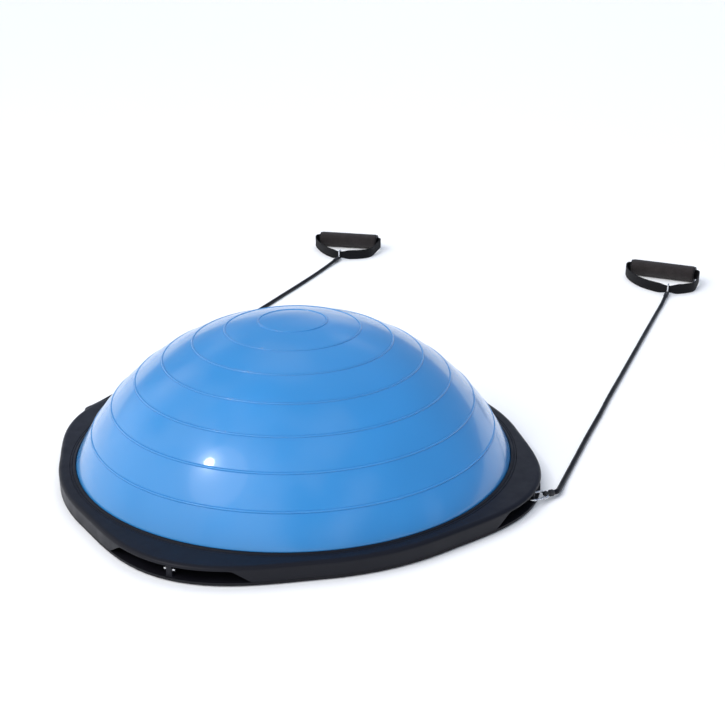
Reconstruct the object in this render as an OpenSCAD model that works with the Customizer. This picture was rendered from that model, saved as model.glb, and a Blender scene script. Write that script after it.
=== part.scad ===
// Balance dome trainer: an air-filled dome on a lobed platform, with two hooked resistance bands.
// Origin on the floor under the dome's centre, +Z up. The lobes lie on +X, +Y, -X and -Y.
// Millimetres and degrees throughout.

/* [Dome] */
// Diameter of the dome where it meets the deck
dome_d = 580; // [520:5:640]
// Rise of the dome above the deck
dome_rise = 180; // [140:5:220]
// Thickness of the dome's skin
skin_t = 3; // [2.5:0.5:3]
// Number of raised rings on the dome
ring_count = 7; // [4:1:9]
// Radius of the bead that makes each raised ring
bead_r = 1.8; // [1:0.1:2.5]

/* [Platform] */
// Height of the deck above the floor
deck_h = 24; // [22:1:30]
// Width of deck between the clamp ring's groove and the plain edge
deck_margin = 22; // [18:1:40]
// How far each lobe stands out past the plain edge
lobe_reach = 23; // [15:1:35]
// Half the angle that one lobe takes up
lobe_half_angle = 32; // [28:1:40]
// Thickness of the deck plate
deck_t = 4.5; // [4:0.5:5]
// Thickness of the side wall and of the pan
wall_t = 4; // [3:0.5:4]
// Width of the clamp ring
clamp_w = 7; // [6:0.5:8]

/* [Hand holds] */
// Half the width of a hand hold along its top edge
hold_top_half = 72; // [55:1:80]
// Half the width of a hand hold along its bottom edge
hold_foot_half = 92; // [82:1:100]
// Width of the post in the middle of a hand hold
post_w = 6; // [5:0.5:8]
// Depth of that post, front to back
post_d = 8; // [8:0.5:9]

/* [Bands] */
// Outside diameter of the resistance tube
tube_d = 6.5; // [5:0.5:8]
// Bore of the resistance tube
tube_bore_d = 3; // [2:0.5:3.5]
// Thickness of the hook's wire
hook_wire_d = 3; // [2.5:0.25:3]
// Thickness of the handle ring's wire
ring_wire_d = 2.5; // [2:0.25:2.5]
// Width of the webbing
web_w = 20; // [15:1:20]
// Thickness of the webbing
web_t = 1.8; // [1.2:0.1:2]

/* [Grips] */
// Length of the foam grip
grip_len = 126; // [110:1:135]
// Diameter of the foam grip
grip_d = 32; // [30:1:36]

/* [Hidden] */
$fn = 96;
eps = 0.01;
floor_gap = 1;                       // the pan stands this far off the floor, on its pads
pan_top = floor_gap + wall_t;
dome_r = dome_d / 2;
sphere_r = (dome_r * dome_r + dome_rise * dome_rise) / (2 * dome_rise);
sphere_z = deck_h + dome_rise - sphere_r;
dome_angle = asin(dome_r / sphere_r);
ring_step = dome_angle / (ring_count + 1);

// Rim stack under the deck's surface, from the bottom up
channel_floor = 10;
gasket_t = 1;
flange_z = channel_floor + gasket_t;
flange_t = 5;
ring_z = flange_z + flange_t;
skin_outer = dome_r - 0.5;
skin_inner = skin_outer - skin_t - 0.3;
clamp_in = dome_r + 0.3;
clamp_out = clamp_in + clamp_w;
well_r = clamp_out + 1;
flange_out = clamp_out - 1.2;
channel_in = dome_r - 7;
plateau_r = channel_in - 4;
plateau_z = 20;
plate_r = dome_r + deck_margin;
lobe_r = plate_r + lobe_reach;
hold_back_r = well_r + 4.8;
hold_roof = deck_h - deck_t;

// Outline of the platform: a circle with four smooth swellings
outline_n = 144;
function from_lobe(a) = let(w = (a + 45) % 90) abs(w - 45);
function swell(a) = from_lobe(a) < lobe_half_angle
    ? lobe_reach * pow(cos(90 * from_lobe(a) / lobe_half_angle), 2) : 0;
function outline(inset) = [for (i = [0 : outline_n - 1])
    let(a = 360 * i / outline_n, r = plate_r + swell(a) - inset) [r * cos(a), r * sin(a)]];

// Edge of the deck: a quarter ellipse, as inset and height pairs
edge_in = 6;
edge_drop = 4;
edge_steps = 4;
deck_edge = concat([[0, pan_top]], [for (i = [0 : edge_steps])
    let(a = 90 * i / edge_steps) [edge_in * (1 - cos(a)), deck_h - edge_drop * (1 - sin(a))]]);
pan_edge = [[1, floor_gap], [0, floor_gap + 1], [0, pan_top]];

// Screws, posts and pads
rim_screw_n = 16;
rim_screw_ring = (flange_out + skin_outer) / 2 + 0.6;
screw_r = 1.6;
screw_head_r = 3.4;
screw_head_h = 2.2;
rim_screw_tip = ring_z + 6;
pan_screw_n = 8;
pan_screw_ring = 200;
pan_screw_tip = 15;
boss_r = 5.5;
pad_n = 8;
pad_ring = 268;
pad_r = 14;
pad_sunk = 1.2;
post_x = lobe_r - 6;
post_round = 4.4;                    // radius of the post's rounded corners, about its own axis
tenon_h = 1.6;
tenon_w = post_w - 2;
tenon_d = post_d - 2;
cross_pin_r = 2;
cross_pin_len = 14;
cross_pin_z = 13;

// Ribs of the pan
rib_t = 3;
rib_hub_r = 60;
rib_mid_r = 150;
rib_top = hold_roof - 3.7;

// Valve in the plateau, between two ribs
valve_ring = 105;
valve_turn = -67.5;
valve_hole_r = 9;
valve_bore_r = 5.05;
valve_stem_r = 5;
valve_access_r = 30;
seat_foot_z = 12.6;
plateau_t = 4;

// Hook of a band, in its own frame: u from the post to the tube, v across, at hook_z
hook_z = 7.5;
hook_r = hook_wire_d / 2;
nose_r = 9;
eye_u = 20;
corner_r = 6;
gate_u = 11.5;
gate_tip_u = 1.6;
gate_r = 1.2;
gate_pin_r = 0.7;
spring_r = 1.3;
spring_wire = 0.4;
spring_z = hook_r + 0.05;
spring_h = 2 * spring_wire;
spring_leg = 5;
lug_w = 5.4;
lug_r = 3.6;
run_gap = 0.05;                      // radial clearance of every turning wire and pin
ferrule_r = 4.5;
plug_len = 4;
plug_gap = 0.15;                     // between a plug and the end of its tube
plug_hole_r = tube_bore_d / 2 + 0.03;

// Routes of the tubes, from the hook's sleeve to the handle's sleeve
tube_z = tube_d / 2 + 0.05;
route_right = [
    [351, 22, 7.5], [353.1, 24.4, 7.45], [354.6, 28.5, 7.0], [355, 34.5, 6.2], [354.8, 44, 5.1],
    [354.4, 58, 4.2], [354, 79, 3.5], [354, 100, tube_z], [354, 150, tube_z], [354, 220, tube_z], [355, 300, tube_z],
    [355, 380, tube_z], [356, 460, tube_z], [357, 550, tube_z], [358, 640, tube_z],
    [359, 730, tube_z], [360, 810, tube_z], [361, 870, 3.6], [361, 895, 4.6], [361, 918, 5.5]];
route_left = [
    [-351, 22, 7.5], [-353.1, 24.4, 7.45], [-354.6, 28.5, 7.0], [-355, 34.5, 6.2], [-354.8, 44, 5.1],
    [-354.4, 58, 4.2], [-354, 79, 3.5], [-353, 100, tube_z], [-351, 150, tube_z], [-348, 220, tube_z], [-344, 300, tube_z],
    [-341, 380, tube_z], [-338, 460, tube_z], [-335, 550, tube_z], [-334, 640, tube_z],
    [-333, 730, tube_z], [-333, 800, tube_z], [-334, 860, 3.6], [-334, 885, 4.6], [-334, 908, 5.5]];
tube_sides = 10;

// Handle end of a band: the ring stands upright on the line of the tube
grip_ferrule_len = 22;
ring_eye = 26;                       // from the tube's end to the ring's near bar
ring_far = 10;                       // between the ring's two bars
web_back = 7;                        // from the near bar to the webbing's middle
ring_low = 1.5;
ring_high = 20.5;
ring_corner = 1.8;
pinch_w = 14;

// Webbing loops, in the grip's frame: x along the grip, y away from the dome
web_right = [
    [-66, 0, 16], [-71, -3, 16], [-73, -10, 15], [-70, -22, 12.5], [-60, -42, 10.5], [-42, -66, 10],
    [-19, -87, 10], [8, -101, 10.2], [26, -107, 10.8], [35, -108, 11], [42, -105, 10.8], [52, -97, 10.2],
    [64, -86, 10], [73, -74, 10], [77, -60, 10], [77, -40, 11.5], [76, -20, 14.5], [74, -8, 16],
    [70, -1, 16], [66, 0, 16], [40, 0, 16], [0, 0, 16], [-40, 0, 16]];
web_left = [
    [-66, 0, 16], [-71, -2, 16], [-74, -9, 15], [-69, -25, 12.5], [-55, -48, 10.5], [-37, -72, 10],
    [-18, -91, 10.2], [-3, -101, 10.8], [6, -103, 11], [15, -101, 10.8], [31, -95, 10.2], [48, -87, 10],
    [60, -77, 10], [66, -64, 10], [69, -45, 11], [72, -24, 14], [74, -9, 16], [70, -1, 16],
    [66, 0, 16], [40, 0, 16], [0, 0, 16], [-40, 0, 16]];
apex_right = [35, -108];
apex_left = [6, -103];
yaw_right = -4.5;
yaw_left = 8.6;
grip_z = grip_d / 2;
foam_t = 4;
core_out = grip_d / 2 - foam_t;
core_in = core_out - 1;
bush_in = core_in - 0.6;
bush_flange_t = 2;
bush_deep = 12;

// Places worked out from the routes
function flat(p) = [p[0], p[1]];
function hook_yaw(route) = atan2(route[0][1], abs(route[0][0]) - post_x);
function hook_reach(route) = norm([abs(route[0][0]) - post_x, route[0][1]]);
// Point on the hook sleeve's axis, that far back from the tube's end
function hook_socket(route, back) = let(
    a = atan2(route[0][1], abs(route[0][0]) - post_x),
    r = hook_reach(route) - back)
    [sign(route[0][0]) * (post_x + r * cos(a)), r * sin(a), 0];
function tube_end(route) = route[len(route) - 1];
function near_bar(route) = flat(tube_end(route)) + [0, ring_eye];
function turn(p, a) = [p[0] * cos(a) - p[1] * sin(a), p[0] * sin(a) + p[1] * cos(a)];
function grip_centre(route, apex, yaw) = near_bar(route) + [0, web_back] - turn(apex, yaw);

plastic = [0.13, 0.13, 0.16];
pan_black = [0.1, 0.1, 0.12];
dome_blue = [0.26, 0.53, 0.86];
rubber = [0.07, 0.07, 0.08];
steel = [0.78, 0.79, 0.8];
foam = [0.15, 0.13, 0.13];
webbing = [0.06, 0.06, 0.07];

// ---------- helpers ----------

// A solid whose plan is the platform's outline, stacked from inset and height pairs
module stacked(levels) {
    n = outline_n;
    m = len(levels);
    points = [for (l = levels) for (p = outline(l[0])) [p[0], p[1], l[1]]];
    sides = [for (k = [0 : m - 2]) for (i = [0 : n - 1])
        [k * n + i, (k + 1) * n + i, (k + 1) * n + (i + 1) % n, k * n + (i + 1) % n]];
    low = [[for (i = [0 : n - 1]) i]];
    high = [[for (i = [n - 1 : -1 : 0]) (m - 1) * n + i]];
    polyhedron(points, concat(sides, low, high));
}

module tube_between(out_r, in_r, z0, z1) {
    translate([0, 0, z0])
        difference() {
            cylinder(r = out_r, h = z1 - z0);
            translate([0, 0, -1])
                cylinder(r = in_r, h = z1 - z0 + 2);
        }
}

module on_ring(n, r, start = 0) {
    for (i = [0 : n - 1])
        rotate([0, 0, start + 360 * i / n])
            translate([r, 0, 0])
                children();
}

module at_valve() {
    rotate([0, 0, valve_turn])
        translate([valve_ring, 0, 0])
            children();
}

module at_lobe(i) {
    rotate([0, 0, 90 * i])
        children();
}

// A cylinder from one point to another
module rod(a, b, r) {
    d = b - a;
    translate(a)
        rotate([0, acos(d[2] / norm(d)), atan2(d[1], d[0])])
            cylinder(r = r, h = norm(d));
}

// A quarter or other part of a bent wire, in the plane of u and v
module bend(centre, bend_r, from, sweep, wire_r) {
    translate(centre)
        rotate([0, 0, from])
            rotate_extrude(angle = sweep)
                translate([bend_r, 0])
                    circle(r = wire_r, $fn = 32);
}

// Smooth curve through a list of points
function mix(a, b, c, d, t) = 0.5 * (2 * b + (c - a) * t + (2 * a - 5 * b + 4 * c - d) * t * t
    + (3 * b - a - 3 * c + d) * t * t * t);
function at(path, i) = path[max(0, min(len(path) - 1, i))];
function on_path(path, s) = let(i = min(floor(s), len(path) - 2))
    mix(at(path, i - 1), at(path, i), at(path, i + 1), at(path, i + 2), s - i);
function smooth(path, steps) = [for (k = [0 : steps * (len(path) - 1)]) on_path(path, k / steps)];

// Directions along a path and across it
function unit(v) = v / norm(v);
function along(path, i) = unit(at(path, i + 1) - at(path, i - 1));
function across(t) = unit([-t[1], t[0], 0]);

// The same for a loop that closes on itself
function round_at(path, i) = path[(i + len(path)) % len(path)];
function loop_curve(path, steps) = [for (k = [0 : steps * len(path) - 1])
    let(i = floor(k / steps))
    mix(round_at(path, i - 1), path[i], round_at(path, i + 1), round_at(path, i + 2), k / steps - i)];
function loop_along(path, i) = unit(round_at(path, i + 1) - round_at(path, i - 1));

// Faces that join rings of n points, and those that close the two ends
function skin_faces(rings, n) = [for (k = [0 : rings - 2]) for (i = [0 : n - 1])
    [k * n + i, k * n + (i + 1) % n, (k + 1) * n + (i + 1) % n, (k + 1) * n + i]];
function end_faces(rings, n) = [[for (i = [n - 1 : -1 : 0]) i], [for (i = [0 : n - 1]) (rings - 1) * n + i]];

// Round tube swept along a path
module swept_tube(path, r, sides) {
    m = len(path);
    points = [for (k = [0 : m - 1])
        let(t = along(path, k), u = across(t), w = cross(t, u))
        for (i = [0 : sides - 1])
            let(a = 360 * (i + 0.5) / sides) path[k] + r * (cos(a) * u + sin(a) * w)];
    polyhedron(points, concat(skin_faces(m, sides), end_faces(m, sides)));
}

// Upright band swept round a closed loop, narrowed where it is gathered by the ring
module swept_band(path, width, pinched, apex) {
    m = len(path);
    points = [for (k = [0 : m - 1])
        let(
            u = across(loop_along(path, k)) * web_t / 2,
            near = max(0, 1 - norm(flat(path[k]) - apex) / 22),
            h = [0, 0, (width - (width - pinched) * near) / 2])
        each [path[k] - u - h, path[k] + u - h, path[k] + u + h, path[k] - u + h]];
    polyhedron(points, [for (k = [0 : m - 1]) for (i = [0 : 3])
        [k * 4 + i, k * 4 + (i + 1) % 4, (k + 1) % m * 4 + (i + 1) % 4, (k + 1) % m * 4 + i]]);
}

// ---------- platform ----------

module hold_cut() {
    difference() {
        rotate([90, 0, 90])
            linear_extrude(height = lobe_r + 10)
                polygon([[-hold_foot_half, pan_top - eps], [hold_foot_half, pan_top - eps],
                    [hold_top_half, hold_roof], [-hold_top_half, hold_roof]]);
        translate([0, 0, -1])
            cylinder(r = hold_back_r, h = deck_h);
    }
}

module tenon_cut(z0) {
    translate([post_x - tenon_d / 2, -tenon_w / 2, z0])
        cube([tenon_d, tenon_w, tenon_h]);
}

module deck_shell() {
    color(plastic)
        difference() {
            union() {
                difference() {
                    stacked(deck_edge);
                    translate([0, 0, plateau_z])
                        cylinder(r = well_r, h = deck_h);
                    tube_between(well_r, channel_in, channel_floor, deck_h);
                    translate([0, 0, -1])
                        cylinder(r = plateau_r, h = plateau_z - plateau_t + 1);
                    for (i = [0 : 3])
                        at_lobe(i + 0.5)
                            rotate([0, 0, -24])
                                rotate_extrude(angle = 48)
                                    translate([well_r + 4, pan_top - 1])
                                        square([plate_r - wall_t - well_r - 4, hold_roof - pan_top + 1]);
                    for (i = [0 : 3])
                        at_lobe(i)
                            hold_cut();
                }
                on_ring(pan_screw_n, pan_screw_ring, 22.5)
                    translate([0, 0, pan_top])
                        cylinder(r = boss_r, h = plateau_z - plateau_t - pan_top + 1, $fn = 32);
            }
            on_ring(pan_screw_n, pan_screw_ring, 22.5)
                cylinder(r = screw_r, h = pan_screw_tip, $fn = 24);
            on_ring(rim_screw_n, rim_screw_ring)
                cylinder(r = screw_r, h = deck_h, $fn = 24);
            at_valve()
                translate([0, 0, plateau_z - plateau_t - 1])
                    cylinder(r = valve_hole_r, h = plateau_t + 2);
            for (i = [0 : 3])
                at_lobe(i)
                    tenon_cut(hold_roof);
        }
}

module base_pan() {
    color(pan_black)
        difference() {
            union() {
                stacked(pan_edge);
                tube_between(rib_hub_r, rib_hub_r - rib_t, pan_top - 1, rib_top);
                tube_between(rib_mid_r, rib_mid_r - rib_t, pan_top - 1, rib_top);
                for (i = [0 : pan_screw_n - 1])
                    rotate([0, 0, 360 * i / pan_screw_n])
                        translate([rib_hub_r - 1, -rib_t / 2, pan_top - 1])
                            cube([plateau_r - 2 - rib_hub_r, rib_t, rib_top - pan_top + 1]);
            }
            at_valve()
                translate([0, 0, -1])
                    cylinder(r = valve_access_r, h = rib_top);
            on_ring(pan_screw_n, pan_screw_ring, 22.5) {
                cylinder(r = screw_r, h = pan_top + 1, $fn = 24);
                cylinder(r = screw_head_r, h = floor_gap + screw_head_h, $fn = 24);
            }
            on_ring(rim_screw_n, rim_screw_ring) {
                cylinder(r = screw_r, h = pan_top + 1, $fn = 24);
                cylinder(r = screw_head_r, h = floor_gap + screw_head_h, $fn = 24);
            }
            pad_discs();
            for (i = [0 : 3])
                at_lobe(i)
                    tenon_cut(pan_top - tenon_h);
        }
}

module clamp_ring() {
    color(plastic)
        difference() {
            rotate_extrude()
                polygon([[clamp_in, ring_z], [clamp_out, ring_z], [clamp_out, deck_h - 0.8],
                    [clamp_out - 0.8, deck_h], [clamp_in + 0.8, deck_h], [clamp_in, deck_h - 0.8]]);
            on_ring(rim_screw_n, rim_screw_ring)
                translate([0, 0, ring_z - 1])
                    cylinder(r = screw_r, h = rim_screw_tip - ring_z + 1, $fn = 24);
        }
}

module screw(z0, z1) {
    translate([0, 0, z0])
        difference() {
            union() {
                cylinder(r = screw_head_r - 0.2, h = screw_head_h, $fn = 24);
                cylinder(r = screw_r, h = z1 - z0, $fn = 24);
            }
            translate([0, 0, -1])
                cylinder(r = 1.5, h = 2, $fn = 6);
        }
}

module rim_screws() {
    color(steel)
        on_ring(rim_screw_n, rim_screw_ring)
            screw(floor_gap, rim_screw_tip);
}

module pan_screws() {
    color(steel)
        on_ring(pan_screw_n, pan_screw_ring, 22.5)
            screw(floor_gap, pan_screw_tip);
}

// One pad under the middle and a ring of them near the edge
module pad_discs() {
    cylinder(r = pad_r, h = floor_gap + pad_sunk);
    on_ring(pad_n, pad_ring, 22.5)
        cylinder(r = pad_r, h = floor_gap + pad_sunk);
}

module foot_pads() {
    color(rubber)
        pad_discs();
}

module anchor_post(i) {
    color(plastic)
        at_lobe(i)
            difference() {
                union() {
                    intersection() {
                        translate([post_x - post_d / 2, -post_w / 2, pan_top])
                            cube([post_d, post_w, hold_roof - pan_top]);
                        translate([post_x, 0, pan_top])
                            cylinder(r = post_round, h = hold_roof - pan_top);
                    }
                    tenon_cut(pan_top - tenon_h);
                    tenon_cut(hold_roof);
                }
                translate([post_x, post_w, cross_pin_z])
                    rotate([90, 0, 0])
                        cylinder(r = cross_pin_r, h = 2 * post_w, $fn = 32);
            }
}

module anchor_pin(i) {
    color(steel)
        at_lobe(i)
            translate([post_x, cross_pin_len / 2, cross_pin_z])
                rotate([90, 0, 0])
                    cylinder(r = cross_pin_r, h = cross_pin_len, $fn = 32);
}

// ---------- dome ----------

module dome_profile() {
    intersection() {
        translate([0, sphere_z])
            difference() {
                union() {
                    circle(r = sphere_r, $fn = 360);
                    for (k = [1 : ring_count])
                        translate((sphere_r - 0.7) * [sin(k * ring_step), cos(k * ring_step)])
                            circle(r = bead_r, $fn = 32);
                }
                circle(r = sphere_r - skin_t, $fn = 360);
            }
        translate([0, deck_h + 1])
            square([2 * dome_r, 2 * dome_rise]);
    }
    translate([skin_inner, flange_z])
        square([skin_outer - skin_inner, deck_h + 1.2 - flange_z]);
    translate([skin_inner, flange_z])
        square([flange_out - skin_inner, flange_t]);
}

module dome_skin() {
    color(dome_blue)
        difference() {
            rotate_extrude($fn = 180)
                dome_profile();
            on_ring(rim_screw_n, rim_screw_ring)
                translate([0, 0, flange_z - 1])
                    cylinder(r = screw_r, h = flange_t + 2, $fn = 24);
        }
}

module rim_gasket() {
    color(rubber)
        difference() {
            tube_between(flange_out, skin_inner, channel_floor, flange_z);
            on_ring(rim_screw_n, rim_screw_ring)
                translate([0, 0, channel_floor - 1])
                    cylinder(r = screw_r, h = gasket_t + 2, $fn = 24);
        }
}

module valve_seat() {
    color(rubber)
        at_valve()
            rotate_extrude($fn = 48)
                polygon([[valve_bore_r, seat_foot_z], [12, seat_foot_z], [12, plateau_z - plateau_t],
                    [valve_hole_r, plateau_z - plateau_t], [valve_hole_r, plateau_z], [16, plateau_z],
                    [15, plateau_z + 2], [valve_bore_r, plateau_z + 2]]);
}

module valve_plug() {
    color(rubber)
        at_valve() {
            rotate_extrude($fn = 48)
                polygon([[0, seat_foot_z - 3.4], [12.5, seat_foot_z - 3.4], [13.5, seat_foot_z - 2.4],
                    [13.5, seat_foot_z - 0.4], [valve_stem_r, seat_foot_z - 0.4],
                    [valve_stem_r, plateau_z + 1], [valve_stem_r - 1.5, plateau_z + 2.5],
                    [0, plateau_z + 2.5]]);
            translate([-9, -1.5, seat_foot_z - 8])
                cube([18, 3, 5]);
        }
}

// ---------- bands ----------

// Puts a band's hook pieces on the right or, mirrored, on the left
module on_side(side) {
    if (side > 0)
        children();
    else
        mirror([1, 0, 0])
            children();
}

module at_hook(route) {
    translate([post_x, 0, hook_z])
        rotate([0, 0, hook_yaw(route)])
            children();
}

module snap_hook(side, route) {
    color(steel)
        on_side(side)
            at_hook(route)
                difference() {
                    union() {
                        bend([0, 0, 0], nose_r, 90, 180, hook_r);
                        rod([0, nose_r, 0], [eye_u - corner_r, nose_r, 0], hook_r);
                        bend([eye_u - corner_r, nose_r - corner_r, 0], corner_r, 0, 90, hook_r);
                        rod([eye_u, nose_r - corner_r, 0], [eye_u, corner_r - nose_r, 0], hook_r);
                        bend([eye_u - corner_r, corner_r - nose_r, 0], corner_r, 270, 90, hook_r);
                        rod([eye_u - corner_r, -nose_r, 0], [gate_u, -nose_r, 0], hook_r);
                        translate([gate_u, -nose_r, -0.6])
                            cylinder(r = hook_r, h = 1.2, $fn = 32);
                        rod([0, -nose_r, 0], [0.8, -nose_r, 0], hook_r);
                    }
                    translate([gate_u, -nose_r, 0.6])
                        cylinder(r = hook_r + 0.3, h = 3, $fn = 32);
                    translate([gate_u, -nose_r, -3.6])
                        cylinder(r = hook_r + 0.3, h = 3, $fn = 32);
                    translate([gate_u, -nose_r, -3])
                        cylinder(r = gate_pin_r, h = 6, $fn = 24);
                }
}

module hook_gate(side, route) {
    color(steel)
        on_side(side)
            at_hook(route)
                difference() {
                    union() {
                        rod([gate_tip_u, -nose_r, 0], [gate_u - 2.4, -nose_r, 0], gate_r);
                        for (z = [0.7, -1.5])
                            translate([gate_u, -nose_r, z])
                                cylinder(r = hook_r, h = 0.8, $fn = 32);
                        for (z = [0.7, -1.5])
                            translate([gate_u - 3.4, -nose_r - 1, z])
                                cube([3.4, 2, 0.8]);
                        translate([gate_u - 3.4, -nose_r - 1, -1])
                            cube([1.2, 2, 2]);
                    }
                    translate([gate_u, -nose_r, -3])
                        cylinder(r = gate_pin_r + run_gap, h = 6, $fn = 24);
                }
}

module gate_pin(side, route) {
    color(steel)
        on_side(side)
            at_hook(route)
                translate([gate_u, -nose_r, -1.7])
                    cylinder(r = gate_pin_r, h = 1.7 + spring_z + spring_h, $fn = 24);
}

// Coil round the pin above the gate's ear, with a leg that lies along the hook's shank
module gate_spring(side, route) {
    color(steel)
        on_side(side)
            at_hook(route)
                translate([gate_u, -nose_r, spring_z]) {
                    tube_between(spring_r, gate_pin_r + run_gap, 0, spring_h);
                    translate([spring_r - spring_wire, -spring_wire / 2, 0])
                        cube([spring_leg, spring_wire, spring_wire]);
                }
}

// Sleeve with an eye across its end, turning on the hook's end bar
module hook_ferrule(side, route) {
    reach = hook_reach(route);
    color(rubber)
        on_side(side)
            at_hook(route)
                difference() {
                    union() {
                        translate([eye_u, lug_w / 2, 0])
                            rotate([90, 0, 0])
                                cylinder(r = lug_r, h = lug_w, $fn = 48);
                        translate([eye_u + 2, -lug_w / 2, -2.2])
                            cube([4, lug_w, 4.4]);
                        rod([eye_u + 5.5, 0, 0], [reach, 0, 0], ferrule_r);
                    }
                    rod([reach - plug_len - plug_gap, 0, 0], [reach + 1, 0, 0], plug_hole_r);
                    translate([eye_u, lug_w, 0])
                        rotate([90, 0, 0])
                            cylinder(r = hook_r + run_gap, h = 2 * lug_w, $fn = 48);
                }
}

module tube(route) {
    color(rubber)
        swept_tube(smooth(route, 2), tube_d / 2, tube_sides);
}

// Barbed plugs standing just inside the sleeves, one at each end of the tube
module tube_plugs(route) {
    end = tube_end(route);
    color(steel) {
        translate([0, 0, hook_z])
            rod(hook_socket(route, plug_gap + plug_len), hook_socket(route, plug_gap), tube_bore_d / 2);
        rod(end + [0, plug_gap, 0], end + [0, plug_gap + plug_len, 0], tube_bore_d / 2);
    }
}

module grip_ferrule(route) {
    end = tube_end(route);
    bar = near_bar(route);
    color(rubber)
        difference() {
            union() {
                rod(end, end + [0, grip_ferrule_len, 0], ferrule_r - 0.3);
                translate([bar[0], bar[1], end[2] - 2])
                    cylinder(r = lug_r - 0.6, h = 4, $fn = 48);
                translate([bar[0] - 2, end[1] + grip_ferrule_len - 1, end[2] - 2])
                    cube([4, ring_eye - grip_ferrule_len, 4]);
            }
            rod(end - [0, 1, 0], end + [0, plug_len + plug_gap, 0], plug_hole_r);
            translate([bar[0], bar[1], 0])
                cylinder(r = ring_wire_d / 2 + run_gap, h = 20, $fn = 48);
        }
}

module handle_ring(route) {
    bar = near_bar(route);
    r = ring_wire_d / 2;
    c = ring_corner;
    color(steel)
        translate([bar[0], bar[1], 0]) {
            for (y = [0, ring_far])
                rod([0, y, ring_low + c], [0, y, ring_high - c], r);
            rotate([0, 0, 90])
                rotate([90, 0, 0]) {
                    for (z = [ring_low, ring_high])
                        rod([c, z, 0], [ring_far - c, z, 0], r);
                    bend([c, ring_low + c, 0], c, 180, 90, r);
                    bend([ring_far - c, ring_low + c, 0], c, 270, 90, r);
                    bend([ring_far - c, ring_high - c, 0], c, 0, 90, r);
                    bend([c, ring_high - c, 0], c, 90, 90, r);
                }
        }
}

module at_grip(route, apex, yaw) {
    c = grip_centre(route, apex, yaw);
    translate([c[0], c[1], 0])
        rotate([0, 0, yaw])
            children();
}

module strap(route, web, apex, yaw) {
    color(webbing)
        at_grip(route, apex, yaw)
            swept_band(loop_curve(web, 3), web_w, pinch_w, apex);
}

module along_grip(x0) {
    translate([x0, 0, grip_z])
        rotate([0, 90, 0])
            children();
}

module grip_core(route, apex, yaw) {
    color(plastic)
        at_grip(route, apex, yaw)
            along_grip(-grip_len / 2)
                tube_between(core_out, core_in, 0, grip_len);
}

module grip_bush() {
    rotate_extrude($fn = 64)
        polygon([[bush_in, 0], [core_out + 2, 0], [core_out + 3, bush_flange_t / 2],
            [core_out + 3, bush_flange_t], [core_in, bush_flange_t], [core_in, bush_deep],
            [bush_in, bush_deep]]);
}

module grip_bushes(route, apex, yaw) {
    color(plastic)
        at_grip(route, apex, yaw) {
            along_grip(-grip_len / 2 - bush_flange_t)
                grip_bush();
            mirror([1, 0, 0])
                along_grip(-grip_len / 2 - bush_flange_t)
                    grip_bush();
        }
}

module grip_foam(route, apex, yaw) {
    r = grip_d / 2;
    round_r = 3;
    color(foam)
        at_grip(route, apex, yaw)
            along_grip(-grip_len / 2)
                rotate_extrude()
                    polygon([[core_out, 0], [r - round_r, 0], [r - 0.9, 0.9], [r, round_r],
                        [r, grip_len - round_r], [r - 0.9, grip_len - 0.9],
                        [r - round_r, grip_len], [core_out, grip_len]]);
}

// ---------- assembly ----------

deck_shell();
base_pan();
clamp_ring();
dome_skin();
rim_gasket();
valve_seat();
valve_plug();
anchor_post(0);  // anchor_post_1
anchor_post(1);  // anchor_post_2
anchor_post(2);  // anchor_post_3
anchor_post(3);  // anchor_post_4
anchor_pin(0);  // anchor_pin_1
anchor_pin(1);  // anchor_pin_2
anchor_pin(2);  // anchor_pin_3
anchor_pin(3);  // anchor_pin_4
rim_screws();
pan_screws();
foot_pads();
snap_hook(1, route_right);  // snap_hook_right
hook_gate(1, route_right);  // hook_gate_right
gate_pin(1, route_right);  // gate_pin_right
gate_spring(1, route_right);  // gate_spring_right
hook_ferrule(1, route_right);  // hook_ferrule_right
tube(route_right);  // tube_right
tube_plugs(route_right);  // tube_plugs_right
grip_ferrule(route_right);  // grip_ferrule_right
handle_ring(route_right);  // handle_ring_right
strap(route_right, web_right, apex_right, yaw_right);  // strap_right
grip_core(route_right, apex_right, yaw_right);  // grip_core_right
grip_bushes(route_right, apex_right, yaw_right);  // grip_bushes_right
grip_foam(route_right, apex_right, yaw_right);  // grip_foam_right
snap_hook(-1, route_left);  // snap_hook_left
hook_gate(-1, route_left);  // hook_gate_left
gate_pin(-1, route_left);  // gate_pin_left
gate_spring(-1, route_left);  // gate_spring_left
hook_ferrule(-1, route_left);  // hook_ferrule_left
tube(route_left);  // tube_left
tube_plugs(route_left);  // tube_plugs_left
grip_ferrule(route_left);  // grip_ferrule_left
handle_ring(route_left);  // handle_ring_left
strap(route_left, web_left, apex_left, yaw_left);  // strap_left
grip_core(route_left, apex_left, yaw_left);  // grip_core_left
grip_bushes(route_left, apex_left, yaw_left);  // grip_bushes_left
grip_foam(route_left, apex_left, yaw_left);  // grip_foam_left
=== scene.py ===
"""Visual model of a balance dome trainer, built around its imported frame.

An air-filled dome with raised rings is clamped to a lobed platform. Two elastic bands hook onto
posts in the platform's hand holds and end in webbing loops with foam grips.
Everything is in metres in the frame's own axes: +Z up, lobes on +X, +Y, -X and -Y.
"""

import sys
import logging
import math
from dataclasses import dataclass, field
from enum import Enum

import bmesh
import bpy
import numpy as np
from mathutils import Matrix, Vector, noise


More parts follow.
